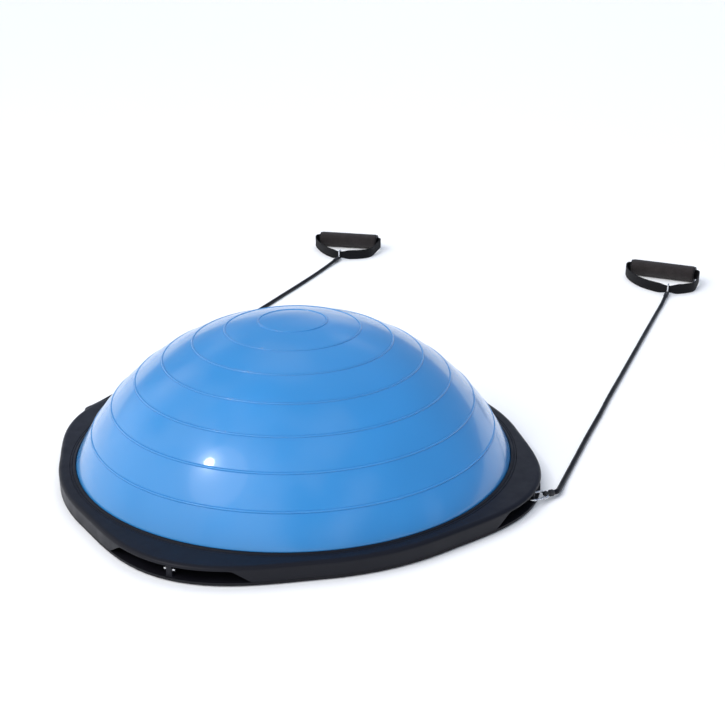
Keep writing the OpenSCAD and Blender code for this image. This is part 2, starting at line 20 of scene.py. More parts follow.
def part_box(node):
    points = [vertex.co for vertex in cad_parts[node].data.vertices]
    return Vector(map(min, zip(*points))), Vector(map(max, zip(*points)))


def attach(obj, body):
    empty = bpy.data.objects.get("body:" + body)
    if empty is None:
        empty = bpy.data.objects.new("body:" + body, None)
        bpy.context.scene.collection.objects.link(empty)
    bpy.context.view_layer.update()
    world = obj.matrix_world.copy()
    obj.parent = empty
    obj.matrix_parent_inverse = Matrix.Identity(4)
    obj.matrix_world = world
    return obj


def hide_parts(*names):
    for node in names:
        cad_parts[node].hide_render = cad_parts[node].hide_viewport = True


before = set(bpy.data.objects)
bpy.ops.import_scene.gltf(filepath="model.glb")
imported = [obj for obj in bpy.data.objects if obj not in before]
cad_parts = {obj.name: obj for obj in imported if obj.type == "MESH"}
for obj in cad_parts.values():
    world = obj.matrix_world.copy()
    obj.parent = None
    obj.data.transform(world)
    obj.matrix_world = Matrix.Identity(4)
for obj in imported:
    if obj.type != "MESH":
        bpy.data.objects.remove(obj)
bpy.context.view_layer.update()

LOG = logging.getLogger("balance_dome")
MM = 0.001
TAU = 2 * math.pi
TINY = 1e-7
UP = (0.0, 0.0, 1.0)

Point = tuple[float, float, float]
Form = tuple[np.ndarray, list[tuple[int, ...]]]


class Side(Enum):
    """The two bands, with the sign of the X axis that each lies on."""

    RIGHT = 1
    LEFT = -1

    @property
    def tag(self) -> str:
        """Ending of this side's node and body names."""
        return self.name.lower()


# ---------- mesh helpers ----------


def strip(low: list[int], high: list[int]) -> list[tuple[int, ...]]:
    """Faces between two closed rings of points, or between a ring and a pole.

    Args:
        low: Point numbers of one ring; a single number is a pole.
        high: Point numbers of the next ring.

    Returns:
        Quads, or triangles round a pole.
    """
    n = max(len(low), len(high))
    if len(low) == 1 and len(high) == 1:
        return []
    if len(low) == 1:
        return [(low[0], high[(k + 1) % n], high[k]) for k in range(n)]
    if len(high) == 1:
        return [(low[k], low[(k + 1) % n], high[0]) for k in range(n)]
    return [(low[k], low[(k + 1) % n], high[(k + 1) % n], high[k]) for k in range(n)]


def lathe(profile: list[tuple[float, float]], steps: int) -> Form:
    """Turns a closed profile round the Z axis.

    Args:
        profile: Radius and height pairs in order; a radius of 0 is a pole.
        steps: Points round the axis.

    Returns:
        Points and faces of a closed form.
    """
    points, rings = [], []
    turn = np.linspace(0, TAU, steps, endpoint=False)
    for radius, height in profile:
        start = len(points)
        if radius < TINY:
            points.append((0.0, 0.0, height))
            rings.append([start])
        else:
            points += [(radius * math.cos(a), radius * math.sin(a), height) for a in turn]
            rings.append(list(range(start, start + steps)))
    faces = []
    for low, high in zip(rings, rings[1:] + rings[:1]):
        faces += strip(low, high)
    return np.array(points), faces


def disc(radius: float, sides: int) -> np.ndarray:
    """Round cross-section of a wire or tube, as sideways and upward distances."""
    turn = np.linspace(0, TAU, sides, endpoint=False)
    return radius * np.stack([np.cos(turn), np.sin(turn)], axis=1)


def rounded(corners: list[tuple[float, float, float]], steps: int = 5) -> list[tuple[float, float]]:
    """Closed outline with arcs in place of its corners.

    Args:
        corners: Two coordinates and a rounding radius for each corner; 0 keeps it sharp.
        steps: Segments in each arc.

    Returns:
        Points of the outline, in order.
    """
    out = []
    for i, (x, y, radius) in enumerate(corners):
        here = np.array((x, y))
        if radius <= 0:
            out.append((x, y))
            continue
        back = np.array(corners[i - 1][:2]) - here
        ahead = np.array(corners[(i + 1) % len(corners)][:2]) - here
        back, ahead = back / np.linalg.norm(back), ahead / np.linalg.norm(ahead)
        half = 0.5 * math.acos(max(-1.0, min(1.0, float(back @ ahead))))
        middle = here + (back + ahead) / np.linalg.norm(back + ahead) * radius / math.sin(half)
        first = here + back * radius / math.tan(half) - middle
        last = here + ahead * radius / math.tan(half) - middle
        sweep_angle = math.pi - 2 * half
        for k in range(steps + 1):
            t = k / steps
            arm = (math.sin((1 - t) * sweep_angle) * first + math.sin(t * sweep_angle) * last)
            out.append(tuple(middle + arm / math.sin(sweep_angle)))
    return out


def block(x: float, y: float, radius: float, steps: int) -> np.ndarray:
    """Cross-section of a bar that reaches x and y to each side, with rounded corners."""
    return np.array(rounded([(-x, -y, radius), (x, -y, radius), (x, y, radius), (-x, y, radius)], steps))


def smooth(points: list[Point], steps: int, closed: bool = False) -> np.ndarray:
    """Smooth curve through a list of points.

    Args:
        points: Points that the curve passes through.
        steps: Segments between two of them.
        closed: Whether the last point leads back to the first.

    Returns:
        The curve's points.
    """
    p = np.array(points, float)
    n = len(p)

    def near(i: int) -> np.ndarray:
        return p[i % n] if closed else p[max(0, min(n - 1, i))]

    out = []
    for i in range(n if closed else n - 1):
        a, b, c, d = near(i - 1), near(i), near(i + 1), near(i + 2)
        for k in range(steps):
            t = k / steps
            out.append(0.5 * (2 * b + (c - a) * t + (2 * a - 5 * b + 4 * c - d) * t * t
                              + (3 * b - a - 3 * c + d) * t ** 3))
    return np.array(out if closed else [*out, p[-1]])


def even(path: np.ndarray, gap: float, closed: bool = False) -> np.ndarray:
    """The same line with its points an even distance apart.

    Args:
        path: Points of the line.
        gap: Distance wanted between points.
        closed: Whether the line returns to its start.

    Returns:
        The new points.
    """
    line = np.vstack([path, path[:1]]) if closed else path
    along = np.concatenate([[0], np.cumsum(np.linalg.norm(np.diff(line, axis=0), axis=1))])
    count = max(2, round(along[-1] / gap) + 1)
    at = np.linspace(0, along[-1], count)
    out = np.stack([np.interp(at, along, line[:, k]) for k in range(3)], axis=1)
    return out[:-1] if closed else out


def sections(path: np.ndarray, up: Point, closed: bool) -> tuple[np.ndarray, np.ndarray]:
    """Sideways and upward directions at each point of a path.

    Args:
        path: Points of the path.
        up: A direction that the path never runs along.
        closed: Whether the path returns to its start.

    Returns:
        The sideways directions and the upward directions.
    """
    ahead = np.roll(path, -1, axis=0) - np.roll(path, 1, axis=0)
    if not closed:
        ahead[0] = path[1] - path[0]
        ahead[-1] = path[-1] - path[-2]
    ahead /= np.linalg.norm(ahead, axis=1)[:, None]
    side = np.cross(ahead, np.array(up))
    side /= np.linalg.norm(side, axis=1)[:, None]
    return side, np.cross(side, ahead)


def sweep(path: np.ndarray, outlines: np.ndarray, up: Point = UP, closed: bool = False) -> Form:
    """Carries a cross-section along a path.

    Args:
        path: Points of the path.
        outlines: One cross-section for the whole path, or one for each of its points.
        up: A direction that the path never runs along.
        closed: Whether the path returns to its start.

    Returns:
        Points and faces of a closed form.
    """
    side, above = sections(path, up, closed)
    if outlines.ndim == 2:
        outlines = np.repeat(outlines[None], len(path), axis=0)
    points = (path[:, None] + side[:, None] * outlines[:, :, :1] + above[:, None] * outlines[:, :, 1:])
    n = outlines.shape[1]
    rings = [list(range(k * n, (k + 1) * n)) for k in range(len(path))]
    faces = []
    for low, high in zip(rings, rings[1:] + (rings[:1] if closed else [])):
        faces += strip(low, high)
    if not closed:
        faces += [tuple(rings[0]), tuple(reversed(rings[-1]))]
    return points.reshape(-1, 3), faces


def aimed(origin: Point, towards: Point, up: Point = UP) -> Matrix:
    """Matrix that stands a form's Z axis on a point and along a direction.

    Args:
        origin: Where the form's own origin goes.
        towards: Direction of its Z axis.
        up: Direction nearest to its Y axis.

    Returns:
        The 4 by 4 matrix.
    """
    z = Vector(towards).normalized()
    x = Vector(up).cross(z).normalized()
    turned = Matrix((x, z.cross(x), z)).transposed().to_4x4()
    return Matrix.Translation(Vector(origin)) @ turned


class Shell:
    """Closed forms gathered into one piece."""

    def __init__(self) -> None:
        """Starts with nothing in it."""
        self.points: list[np.ndarray] = []
        self.faces: list[tuple[int, ...]] = []
        self.count = 0

    def add(self, form: Form, matrix: Matrix | None = None) -> "Shell":
        """Adds a form.

        Args:
            form: Its points and faces.
            matrix: Where it goes; where it is by default.

        Returns:
            The shell itself, so that calls can follow each other.
        """
        points, faces = form
        if matrix is not None:
            m = np.array(matrix)
            points = points @ m[:3, :3].T + m[:3, 3]
        self.points.append(points)
        self.faces += [tuple(i + self.count for i in face) for face in faces]
        self.count += len(points)
        return self

    def piece(self, name: str, crease: float = 38.0) -> bpy.types.Object:
        """Makes the gathered forms into one object.

        Args:
            name: Name of the object.
            crease: Degrees between two faces above which their edge is drawn sharp.

        Returns:
            The object, linked to the scene.
        """
        mesh = bpy.data.meshes.new(name)
        mesh.from_pydata(np.vstack(self.points).tolist(), [], self.faces)
        work = bmesh.new()
        work.from_mesh(mesh)
        bmesh.ops.remove_doubles(work, verts=work.verts, dist=TINY)
        bmesh.ops.recalc_face_normals(work, faces=work.faces)
        work.to_mesh(mesh)
        work.free()
        mesh.shade_smooth()
        mesh.set_sharp_from_angle(angle=math.radians(crease))
        made = bpy.data.objects.new(name, mesh)
        bpy.context.scene.collection.objects.link(made)
        return made


# ---------- finishes ----------


class Graph:
    """Short calls for building one material's nodes round a Principled shader."""

    def __init__(self, name: str, **sockets: object) -> None:
        """Starts a material.

        Args:
            name: Name of the material.
            **sockets: Constants for the shader, with underscores for spaces.
        """
        self.material = bpy.data.materials.new(name)
        self.material.use_nodes = True
        self.tree = self.material.node_tree
        self.tree.nodes.clear()
        self.shader = self.add("BsdfPrincipled")
        for key, value in sockets.items():
            self.shader.inputs[key.replace("_", " ")].default_value = value
        output = self.add("OutputMaterial")
        self.tree.links.new(self.shader.outputs[0], output.inputs[0])
        self.place = self.add("TexCoord").outputs["Object"]
        self.normal = None

    def add(self, kind: str, sockets: dict | None = None, **options: object) -> bpy.types.Node:
        """Adds a node.

        Args:
            kind: Its type, without the usual prefix.
            sockets: Its inputs by name: constants, or other nodes' outputs.
            **options: Its other settings.

        Returns:
            The node.
        """
        node = self.tree.nodes.new("ShaderNode" + kind)
        for key, value in options.items():
            setattr(node, key, value)
        for key, value in (sockets or {}).items():
            if isinstance(value, bpy.types.NodeSocket):
                self.tree.links.new(value, node.inputs[key])
            else:
                node.inputs[key].default_value = value
        return node

    def noise(self, scale: float, detail: float = 3.0, stretch: Point = (1, 1, 1)) -> bpy.types.NodeSocket:
        """Soft random pattern.

        Args:
            scale: Cells to the metre.
            detail: Finer layers in it.
            stretch: Factors on the three axes.

        Returns:
            Its value, about 0.5 on average.
        """
        where = self.add("Mapping", {"Vector": self.place, "Scale": stretch})
        return self.add("TexNoise", {"Vector": where.outputs[0], "Scale": scale, "Detail": detail}).outputs[0]

    def cells(self, scale: float) -> bpy.types.NodeSocket:
        """Distance to the nearest of many scattered points, that many to the metre."""
        return self.add("TexVoronoi", {"Vector": self.place, "Scale": scale}).outputs["Distance"]

    def spread(self, value: bpy.types.NodeSocket, low: float, high: float,
               start: float = 0.3, end: float = 0.7) -> bpy.types.NodeSocket:
        """Stretches a pattern onto a range.

        Args:
            value: The pattern.
            low: Result where it is at start or under.
            high: Result where it is at end or over.
            start: Lower end of the pattern that counts.
            end: Upper end of the pattern that counts.

        Returns:
            The stretched value.
        """
        node = self.add("MapRange", {"Value": value, "From Min": start, "From Max": end,
                                     "To Min": low, "To Max": high})
        return node.outputs[0]

    def tint(self, value: bpy.types.NodeSocket, colour: Point, *stops: tuple[float, float]) -> None:
        """Colours the surface by a pattern.

        Args:
            value: The pattern.
            colour: Linear colour that the steps are lighter or darker versions of.
            *stops: Place of each step, and how many times as light as the colour it is.
        """
        ramp = self.add("ValToRGB", {"Fac": value})
        steps = ramp.color_ramp.elements
        while len(steps) < len(stops):
            steps.new(0.5)
        for step, (place, factor) in zip(steps, stops):
            step.position = place
            step.color = (*(min(1.0, c * factor) for c in colour), 1.0)
        self.tree.links.new(ramp.outputs[0], self.shader.inputs["Base Color"])

    def rough(self, value: bpy.types.NodeSocket, low: float, high: float) -> None:
        """Varies the roughness between two values by a pattern."""
        self.tree.links.new(self.spread(value, low, high), self.shader.inputs["Roughness"])

    def relief(self, value: bpy.types.NodeSocket, depth: float, strength: float = 1.0) -> None:
        """Raises and lowers the shaded surface.

        Args:
            value: The pattern that gives its height.
            depth: Height in metres for a value of 1.
            strength: Share of it that shows.
        """
        sockets = {"Height": value, "Distance": depth, "Strength": strength}
        if self.normal is not None:
            sockets["Normal"] = self.normal
        self.normal = self.add("Bump", sockets).outputs[0]
        self.tree.links.new(self.normal, self.shader.inputs["Normal"])


@dataclass(frozen=True)
class DomeVinyl:
    """Glossy inflated vinyl with a faint mottle and a slightly uneven skin."""

    name: str = "dome_vinyl"
    colour: tuple[float, float, float] = (0.030, 0.232, 0.555)
    roughness: float = 0.22

    def build(self) -> bpy.types.Material:
        """Makes the material."""
        g = Graph(self.name, Coat_Weight=0.5, Coat_Roughness=0.06, Coat_IOR=1.5, IOR=1.5,
                  Subsurface_Weight=0.04, Subsurface_Scale=0.004)
        clouds = g.noise(5.0, 2.0)
        g.tint(clouds, self.colour, (0.32, 0.93), (0.52, 1.0), (0.72, 1.09))
        g.rough(g.noise(38.0, 2.0), self.roughness - 0.03, self.roughness + 0.05)
        g.relief(g.noise(7.0, 0.0), 1.2 * MM, 0.5)
        return g.material


@dataclass(frozen=True)
class MouldedPlastic:
    """Satin moulded plastic with a fine etched grain and rubbed patches."""

    name: str
    colour: tuple[float, float, float] = (0.006, 0.0065, 0.011)
    roughness: float = 0.42
    grain: float = 1.0
    gloss: float = 0.22

    def build(self) -> bpy.types.Material:
        """Makes the material."""
        g = Graph(self.name, IOR=1.5, Specular_IOR_Level=self.gloss)
        patches = g.noise(14.0, 4.0)
        g.tint(patches, self.colour, (0.3, 0.88), (0.55, 1.0), (0.8, 1.22))
        g.rough(g.noise(60.0, 5.0), self.roughness - 0.05, self.roughness + 0.07)
        g.relief(g.cells(1500.0), 0.03 * MM, 0.45 * self.grain)
        g.relief(g.noise(3800.0, 2.0), 0.02 * MM, 0.5 * self.grain)
        return g.material


@dataclass(frozen=True)
class Rubber:
    """Matt black rubber with a dusty bloom."""

    name: str
    colour: tuple[float, float, float] = (0.012, 0.012, 0.014)
    roughness: float = 0.62

    def build(self) -> bpy.types.Material:
        """Makes the material."""
        g = Graph(self.name, IOR=1.52)
        bloom = g.noise(90.0, 5.0)
        g.tint(bloom, self.colour, (0.35, 0.8), (0.55, 1.0), (0.75, 1.7))
        g.rough(g.noise(240.0, 3.0), self.roughness - 0.08, self.roughness + 0.08)
        g.relief(g.noise(1400.0, 4.0), 0.04 * MM, 0.5)
        return g.material


@dataclass(frozen=True)
class TubeLatex:
    """Drawn elastic tube: satin black with faint streaks along it and a powdery bloom."""

    name: str = "tube_latex"
    colour: tuple[float, float, float] = (0.004, 0.004, 0.006)

    def build(self) -> bpy.types.Material:
        """Makes the material."""
        g = Graph(self.name, IOR=1.52, Specular_IOR_Level=0.14)
        streaks = g.noise(700.0, 3.0, (1.0, 0.03, 1.0))
        g.tint(streaks, self.colour, (0.35, 0.8), (0.6, 1.0), (0.8, 2.0))
        g.rough(g.noise(30.0, 5.0), 0.34, 0.5)
        g.relief(streaks, 0.03 * MM, 0.5)
        g.relief(g.noise(1800.0, 2.0), 0.012 * MM, 0.5)
        return g.material


@dataclass(frozen=True)
class PlatedSteel:
    """Bright plated wire with fine draw marks and a few dull spots."""

    name: str = "bright_steel"
    colour: tuple[float, float, float] = (0.74, 0.75, 0.77)
    roughness: float = 0.2

    def build(self) -> bpy.types.Material:
        """Makes the material."""
        g = Graph(self.name, Metallic=1.0, Anisotropic=0.2)
        spots = g.noise(420.0, 5.0)
        g.tint(spots, self.colour, (0.3, 0.72), (0.45, 1.0), (0.8, 1.08))
        g.rough(g.noise(900.0, 4.0), self.roughness - 0.06, self.roughness + 0.12)
        g.relief(g.noise(2200.0, 3.0, (1.0, 1.0, 0.2)), 0.01 * MM, 0.5)
        return g.material


@dataclass(frozen=True)
class ZincSteel:
    """Screws with a passivated zinc finish, cloudy and slightly warm."""

    name: str = "zinc_steel"
    colour: tuple[float, float, float] = (0.52, 0.5, 0.44)

    def build(self) -> bpy.types.Material:
        """Makes the material."""
        g = Graph(self.name, Metallic=1.0)
        haze = g.noise(260.0, 4.0)
        g.tint(haze, self.colour, (0.3, 0.7), (0.6, 1.0), (0.8, 1.3))
        g.rough(g.noise(500.0, 3.0), 0.32, 0.5)
        g.relief(g.noise(1600.0, 3.0), 0.012 * MM, 0.6)
        return g.material


@dataclass(frozen=True)
class Webbing:
    """Woven polypropylene: fibre-like strands with a dry sheen."""

    name: str = "webbing"
    colour: tuple[float, float, float] = (0.005, 0.005, 0.006)

    def build(self) -> bpy.types.Material:
        """Makes the material."""
        g = Graph(self.name, IOR=1.45, Specular_IOR_Level=0.15, Sheen_Weight=0.03, Sheen_Roughness=0.5)
        strands = g.noise(1500.0, 4.0, (0.5, 0.5, 3.0))
        g.tint(strands, self.colour, (0.3, 0.5), (0.5, 1.0), (0.75, 2.4))
        g.rough(g.noise(600.0, 3.0), 0.62, 0.82)
        g.relief(strands, 0.12 * MM, 0.7)
        return g.material


@dataclass(frozen=True)
class Foam:
    """Closed-cell foam rubber: a fine pitted skin, brownish black and quite matt."""

    name: str = "grip_foam"
    colour: tuple[float, float, float] = (0.016, 0.012, 0.012)

    def build(self) -> bpy.types.Material:
        """Makes the material."""
        g = Graph(self.name, IOR=1.4, Sheen_Weight=0.1, Sheen_Roughness=0.6)
        pits = g.cells(1100.0)
        g.tint(g.noise(70.0, 6.0), self.colour, (0.3, 0.75), (0.55, 1.0), (0.8, 1.45))
        g.rough(g.noise(300.0, 3.0), 0.72, 0.9)
        g.relief(pits, 0.22 * MM, 0.7)
        g.relief(g.noise(2600.0, 4.0), 0.06 * MM, 0.7)
        return g.material


class Finishes:
    """Every finish of the trainer, each made once."""

    def __init__(self) -> None:
        """Makes the materials."""
        kinds = [
            DomeVinyl(),
            MouldedPlastic("deck_plastic"),
            MouldedPlastic("pan_plastic", (0.006, 0.006, 0.009), 0.5, 1.4),
            MouldedPlastic("ring_plastic"),
            MouldedPlastic("grip_plastic", (0.007, 0.006, 0.007), 0.45, 0.8),
            PlatedSteel(),
            ZincSteel(),
            Rubber("pad_rubber", (0.02, 0.02, 0.022), 0.7),
            Rubber("valve_rubber", (0.014, 0.014, 0.016), 0.5),
            Rubber("sleeve_rubber", (0.01, 0.01, 0.012), 0.42),
            TubeLatex(),
            Webbing(),
            Foam(),
        ]
        self.made = {kind.name: kind.build() for kind in kinds}

    def put(self, piece: bpy.types.Object, slot: str, body: str, *nodes: str) -> bpy.types.Object:
        """Gives a piece its finish and its body, and hides the CAD nodes that it stands for.

        Args:
            piece: The piece.
            slot: Material slot of the record, which is also the finish's name.
            body: Body that the piece rides on.
            *nodes: CAD nodes that it replaces.

        Returns:
            The piece.
        """
        piece.data.materials.clear()
        piece.data.materials.append(self.made[slot])
        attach(piece, body)
        if nodes:
            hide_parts(*nodes)
        LOG.info("%s: %d faces, on %s, finish %s", piece.name, len(piece.data.polygons), body, slot)
        return piece

    def dress(self, node: str, slot: str) -> bpy.types.Object:
        """Gives a CAD node that stays in view its finish.

        Args:
            node: Name of the node.
            slot: Name of the finish.

        Returns:
            The node's object.
        """
        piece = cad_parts[node]
        piece.data.materials.clear()
        piece.data.materials.append(self.made[slot])
        LOG.info("%s: kept from the frame, finish %s", node, slot)
        return piece


@dataclass
class Sided:
    """Something that the trainer has once on each side."""

    side: Side
    finishes: Finishes

    def fit(self, shell: Shell, name: str, slot: str, body: str, node: str,
            crease: float = 38.0) -> bpy.types.Object:
        """Makes one of this side's pieces, gives it its finish and body, and hides its CAD node.

        Args:
            shell: The piece's forms.
            name: The piece's name, without its side.
            slot: Material slot, which is also the finish's name.
            body: Body that it rides on, without its side.
            node: CAD node that it replaces, without its side.
            crease: Degrees between two faces above which their edge is drawn sharp.

        Returns:
            The piece.
        """
        tag = self.side.tag
        piece = shell.piece(f"{name}_{tag}", crease)
        return self.finishes.put(piece, slot, f"{body}_{tag}", f"{node}_{tag}")


# ---------- platform ----------


@dataclass
class Platform:
    """Lobed deck with its hand holds, the pan under it, the clamp ring, screws and pads."""

    finishes: Finishes
    columns: int = 1080
    lobe_reach: float = 23 * MM
    lobe_half_angle: float = math.radians(32)
    edge_in: float = 6 * MM
    edge_drop: float = 4 * MM
    deck_t: float = 4.5 * MM
    groove: float = 0.4 * MM
    clamp_w: float = 7 * MM
    hold_top_half: float = 72 * MM
    hold_foot_half: float = 92 * MM
    hold_set_back: float = 4.8 * MM
    corner_r: float = 1.6 * MM
    nose: float = 0.4 * MM
    parting: float = 0.12 * MM
    plateau_z: float = 20 * MM
    plateau_t: float = 4 * MM
    channel_z: float = 10 * MM
    channel_w: float = 15.3 * MM
    plateau_w: float = 4 * MM

    def outline(self, turn: np.ndarray) -> np.ndarray:
        """Radius of the platform's edge at each angle, in radians."""
        away = np.abs((turn + math.pi / 4) % (math.pi / 2) - math.pi / 4)
        swell = np.cos(np.minimum(away / self.lobe_half_angle, 1) * math.pi / 2) ** 2
        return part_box("deck_shell")[1].x - self.lobe_reach * (1 - swell)

    def deck(self) -> bpy.types.Object:
        """Builds the deck with its rounded edge, side wall and four hand holds."""
        low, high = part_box("deck_shell")
        top, foot = high.z, low.z + self.parting
        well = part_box("clamp_ring")[1].x + self.groove
        roof, back = top - self.deck_t, well + self.hold_set_back
        turn = np.linspace(-math.pi, math.pi, self.columns, endpoint=False)
        rim = self.outline(turn)
        local = (turn + math.pi / 4) % (math.pi / 2) - math.pi / 4
        off = rim * np.sin(local)
        slope = (roof - low.z) / (self.hold_foot_half - self.hold_top_half)
        side = roof - (np.abs(off) - self.hold_top_half) * slope
        lip = (roof + side - np.sqrt((roof - side) ** 2 + self.corner_r ** 2)) / 2
        lip = (foot + lip + np.sqrt((foot - lip) ** 2 + (self.corner_r / 3) ** 2)) / 2
        open_back = np.arcsin(np.clip(off, -self.hold_foot_half, self.hold_foot_half) / back)
        past = np.clip((np.abs(off) - self.hold_foot_half) / self.hold_foot_half * 2, 0, 1)
        back_turn = turn - local + open_back * (1 - past) + local * past
        same = np.ones(self.columns)
        rows = [(same * r, same * z, turn) for r, z in (
            (well - self.channel_w, self.plateau_z), (well - self.channel_w, self.channel_z),
            (well, self.channel_z), (well, top - self.nose))]
        for k in range(1, 4):
            a = math.pi / 2 * k / 3
            rows.append((same * (well + self.nose * (1 - math.cos(a))),
                         same * (top - self.nose * (1 - math.sin(a))), turn))
        inner, outer = well + self.nose, rim - self.edge_in
        for t in (0.03, 0.3, 0.7, 0.97):
            rows.append((inner + (outer - inner) * t, same * top, turn))
        for k in range(10, -1, -1):
            a = math.pi / 2 * k / 10
            rows.append((rim - self.edge_in * (1 - math.cos(a)),
                         same * (top - self.edge_drop * (1 - math.sin(a))), turn))
        shoulder = top - self.edge_drop
        for t in (0.1, 0.5, 0.9):
            rows.append((rim, shoulder + (lip + self.nose - shoulder) * t, turn))
        for k in range(5):
            a = math.pi / 2 * k / 4
            rows.append((rim - self.nose * (1 - math.cos(a)), lip + self.nose * (1 - math.sin(a)), turn))
        rows.append((rim - 3 * self.nose, lip, turn))
        rows.append((same * back, lip, back_turn))
        rows.append((same * back, same * foot, back_turn))
        under = well - self.channel_w - self.plateau_w
        ceiling = self.plateau_z - self.plateau_t
        rows += [(same * under, same * foot, turn), (same * under, same * ceiling, turn)]
        points = [np.array([[0, 0, self.plateau_z]])]
        points += [np.stack([r * np.cos(a), r * np.sin(a), z], axis=1) for r, z, a in rows]
        points.append(np.array([[0, 0, ceiling]]))
        rings, start = [], 0
        for ring in points:
            rings.append(list(range(start, start + len(ring))))
            start += len(ring)
        faces = []
        for a, b in zip(rings, rings[1:]):
            faces += strip(a, b)
        deck = Shell().add((np.vstack(points), faces)).piece("deck_shell_moulding", 34)
        return self.finishes.put(deck, "deck_plastic", "base", "deck_shell")

    def clamp(self) -> bpy.types.Object:
        """Builds the ring that clamps the dome's flange, with its lip and groove beside the dome."""
        low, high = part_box("clamp_ring")
        inner, outer, lip = high.x - self.clamp_w, high.x, 1.2 * MM
        across = [(5.0, 0.0, 0.3), (4.4, -0.5, 0.2), (3.6, -0.5, 0.2), (3.0, 0.5, 0.3), (0.2, 1.0, 0.5)]
        crest = [(inner + x * MM, high.z + lip * rise, r * MM) for x, rise, r in across]
        profile = rounded([(inner, low.z, 0), (outer, low.z, 0), (outer, high.z, 0.4 * MM),
                           *crest, (inner, high.z, 0)], 6)
        ring = Shell().add(lathe(profile, 420)).piece("clamp_ring_band")
        return self.finishes.put(ring, "ring_plastic", "base", "clamp_ring")

    def posts(self) -> None:
        """Builds the four anchor posts and the pins through them."""
        low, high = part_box("anchor_post_1")
        pan_top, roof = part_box("deck_shell")[0].z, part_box("deck_shell")[1].z - self.deck_t
        half_d, half_w, corner = (high.x - low.x) / 2, (high.y - low.y) / 2, 1.1 * MM
        middle = (low.x + high.x) / 2
        outline = np.array(rounded([(-half_d, -half_w, corner), (half_d, -half_w, corner),
                                    (half_d, half_w, corner), (-half_d, half_w, corner)], 5))
        flare = [(pan_top, 1.12), (pan_top + 0.5 * MM, 1.03), (pan_top + 1.2 * MM, 1.0),
                 (roof - 1.2 * MM, 1.0), (roof - 0.5 * MM, 1.03), (roof, 1.12)]
        path = np.array([(middle, 0.0, z) for z, _ in flare])
        rings = np.array([outline * grow for _, grow in flare])
        pin_low, pin_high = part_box("anchor_pin_1")
        pin_r, pin_len = (pin_high.z - pin_low.z) / 2 - 0.2 * MM, pin_high.y - pin_low.y
        pin_profile = rounded([(0, 0, 0), (pin_r, 0, 0.5 * MM), (pin_r, pin_len, 0.5 * MM), (0, pin_len, 0)])
        pin_place = aimed((middle, pin_low.y, (pin_low.z + pin_high.z) / 2), (0, 1, 0))
        for i in range(4):
            quarter = Matrix.Rotation(math.pi / 2 * i, 4, "Z")
            post = Shell().add(sweep(path, rings, (1, 0, 0)), quarter).piece(f"post_{i + 1}", 50)
            self.finishes.put(post, "deck_plastic", "base", f"anchor_post_{i + 1}")
            pin = Shell().add(lathe(pin_profile, 32), quarter @ pin_place).piece(f"cross_pin_{i + 1}")
            self.finishes.put(pin, "bright_steel", "base", f"anchor_pin_{i + 1}")

    def build(self) -> None:
        """Builds the platform and dresses the parts of it that stay as they are."""
        self.deck()
        self.clamp()
        self.posts()
        self.finishes.dress("base_pan", "pan_plastic")
        self.finishes.dress("foot_pads", "pad_rubber")
        self.finishes.dress("rim_screws", "zinc_steel")
        self.finishes.dress("pan_screws", "zinc_steel")


# ---------- dome ----------


@dataclass
class Dome:
    """The inflated dome with its raised rings, its gasket and its valve."""

    finishes: Finishes
    steps: int = 432
    foot_r: float = 290 * MM
    skin_t: float = 3 * MM
    ring_count: int = 7
    bead_half: float = 1.5 * MM
    bead_high: float = 0.8 * MM
    bead_crease: float = 0.35 * MM

    def bead(self, off: float) -> float:
        """Height of a ring's bead that far from its middle."""
        away = min(abs(off) / self.bead_half, 2.0)
        crown = self.bead_high * max(0.0, 1 - away ** 2)
        crease = self.bead_crease * math.exp(-((away - 1.0) / 0.16) ** 2)
        return crown - crease

    def skin(self) -> bpy.types.Object:
        """Builds the skin, from its top down to the flange under the clamp ring."""
        low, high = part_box("dome_skin")
        deck_z, flange_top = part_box("clamp_ring")[1].z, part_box("clamp_ring")[0].z
        rise = high.z - deck_z
        ball_r = (self.foot_r ** 2 + rise ** 2) / (2 * rise)
        centre = high.z - ball_r
        reach = math.asin(self.foot_r / ball_r)
        spacing = reach / (self.ring_count + 1)
        offsets = np.linspace(0, self.bead_half + 0.8 * MM, 20)
        angles = [reach * k / 120 for k in range(120)]
        for k in range(1, self.ring_count + 1):
            angles = [a for a in angles if abs(a - k * spacing) * ball_r > self.bead_half + 1.2 * MM]
            angles += [k * spacing + s * o / ball_r for o in offsets for s in ((1,) if o == 0 else (1, -1))]
        angles.sort()
        profile = []
        for a in angles:
            nearest = round(a / spacing)
            off = (a - nearest * spacing) * ball_r if 1 <= nearest <= self.ring_count else 1.0
            r = ball_r + self.bead(off)
            profile.append((r * math.sin(a), centre + r * math.cos(a)))
        edge = self.foot_r - 0.5 * MM
        profile = [p for p in profile if p[0] < edge - 0.4 * MM]
        profile += [(edge, deck_z + 0.3 * MM), (edge, flange_top), (high.x, flange_top), (high.x, low.z),
                    (edge - self.skin_t, low.z), (edge - self.skin_t, deck_z)]
        inner = ball_r - self.skin_t
        profile += [(inner * math.sin(a), centre + inner * math.cos(a))
                    for a in np.linspace(reach * 0.98, 0, 40)]
        profile[0] = (0.0, profile[0][1])
        profile[-1] = (0.0, profile[-1][1])
        skin = Shell().add(lathe(profile, self.steps)).piece("dome_vinyl_skin", 50)
        return self.finishes.put(skin, "dome_vinyl", "base", "dome_skin")

    def build(self) -> None:
        """Builds the dome and dresses its gasket and valve."""
        self.skin()
        self.finishes.dress("rim_gasket", "pad_rubber")
        self.finishes.dress("valve_seat", "valve_rubber")
        self.finishes.dress("valve_plug", "valve_rubber")


# ---------- bands ----------

